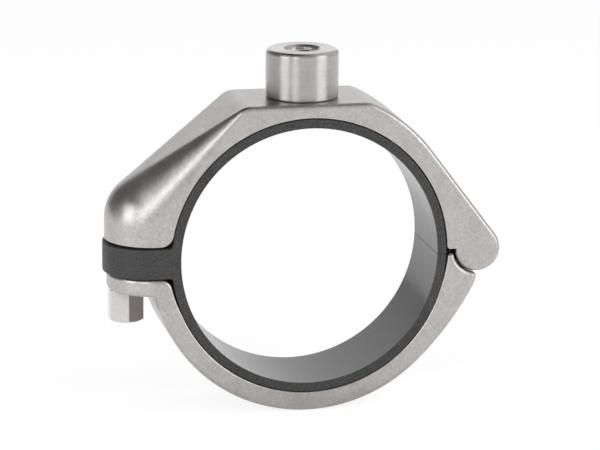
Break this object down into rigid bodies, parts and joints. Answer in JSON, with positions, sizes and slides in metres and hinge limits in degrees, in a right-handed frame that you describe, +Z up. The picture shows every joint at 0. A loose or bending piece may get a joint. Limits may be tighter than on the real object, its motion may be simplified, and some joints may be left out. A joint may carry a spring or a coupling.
{
  "type": "pipe hanger",
  "caption": "Hinged split pipe hanger with a rubber-lined round bore, a bolted lug and a threaded boss on top for a hanger rod.",
  "frame": {"origin": "centre of the pipe bore, half way along its width", "axes": "+Y along the pipe, away from the side in the picture; +Z up towards the hanger rod; -X towards the bolt and +X towards the hinge"},
  "size_m": [0.1159, 0.0272, 0.1057],
  "materials": {
    "casting": "cast stainless steel, bead blasted to an even satin, edges slightly polished",
    "turned_steel": "turned stainless steel with fine lathe rings, brighter than the casting",
    "bolt_steel": "bright stainless steel hexagon with drawn flats",
    "liner_rubber": "dark grey moulded rubber, matt, with a soft sheen"
  },
  "bodies": {
    "upper": {"upper_clamp_half": "casting", "threaded_boss": "turned_steel", "rubber_liner": "liner_rubber", "hinge_pin": "turned_steel"},
    "lower": {"lower_clamp_half": "casting"},
    "bolt": {"clamp_bolt": "bolt_steel"}
  },
  "joints": [
    {"name": "lower_hinge", "type": "hinge", "parent": "upper", "child": "lower", "pos_m": [0.05035, 0, 0], "axis": [0, -1, 0], "range_deg": [0, 3.5]},
    {"name": "bolt_screw", "type": "slide", "parent": "upper", "child": "bolt", "axis": [0, 0, -1], "range_m": [0, 0.00669]}
  ],
  "couplings": [
    {"joint": "bolt_screw", "follows": "lower_hinge", "m_per_rad": 0.109}
  ]
}
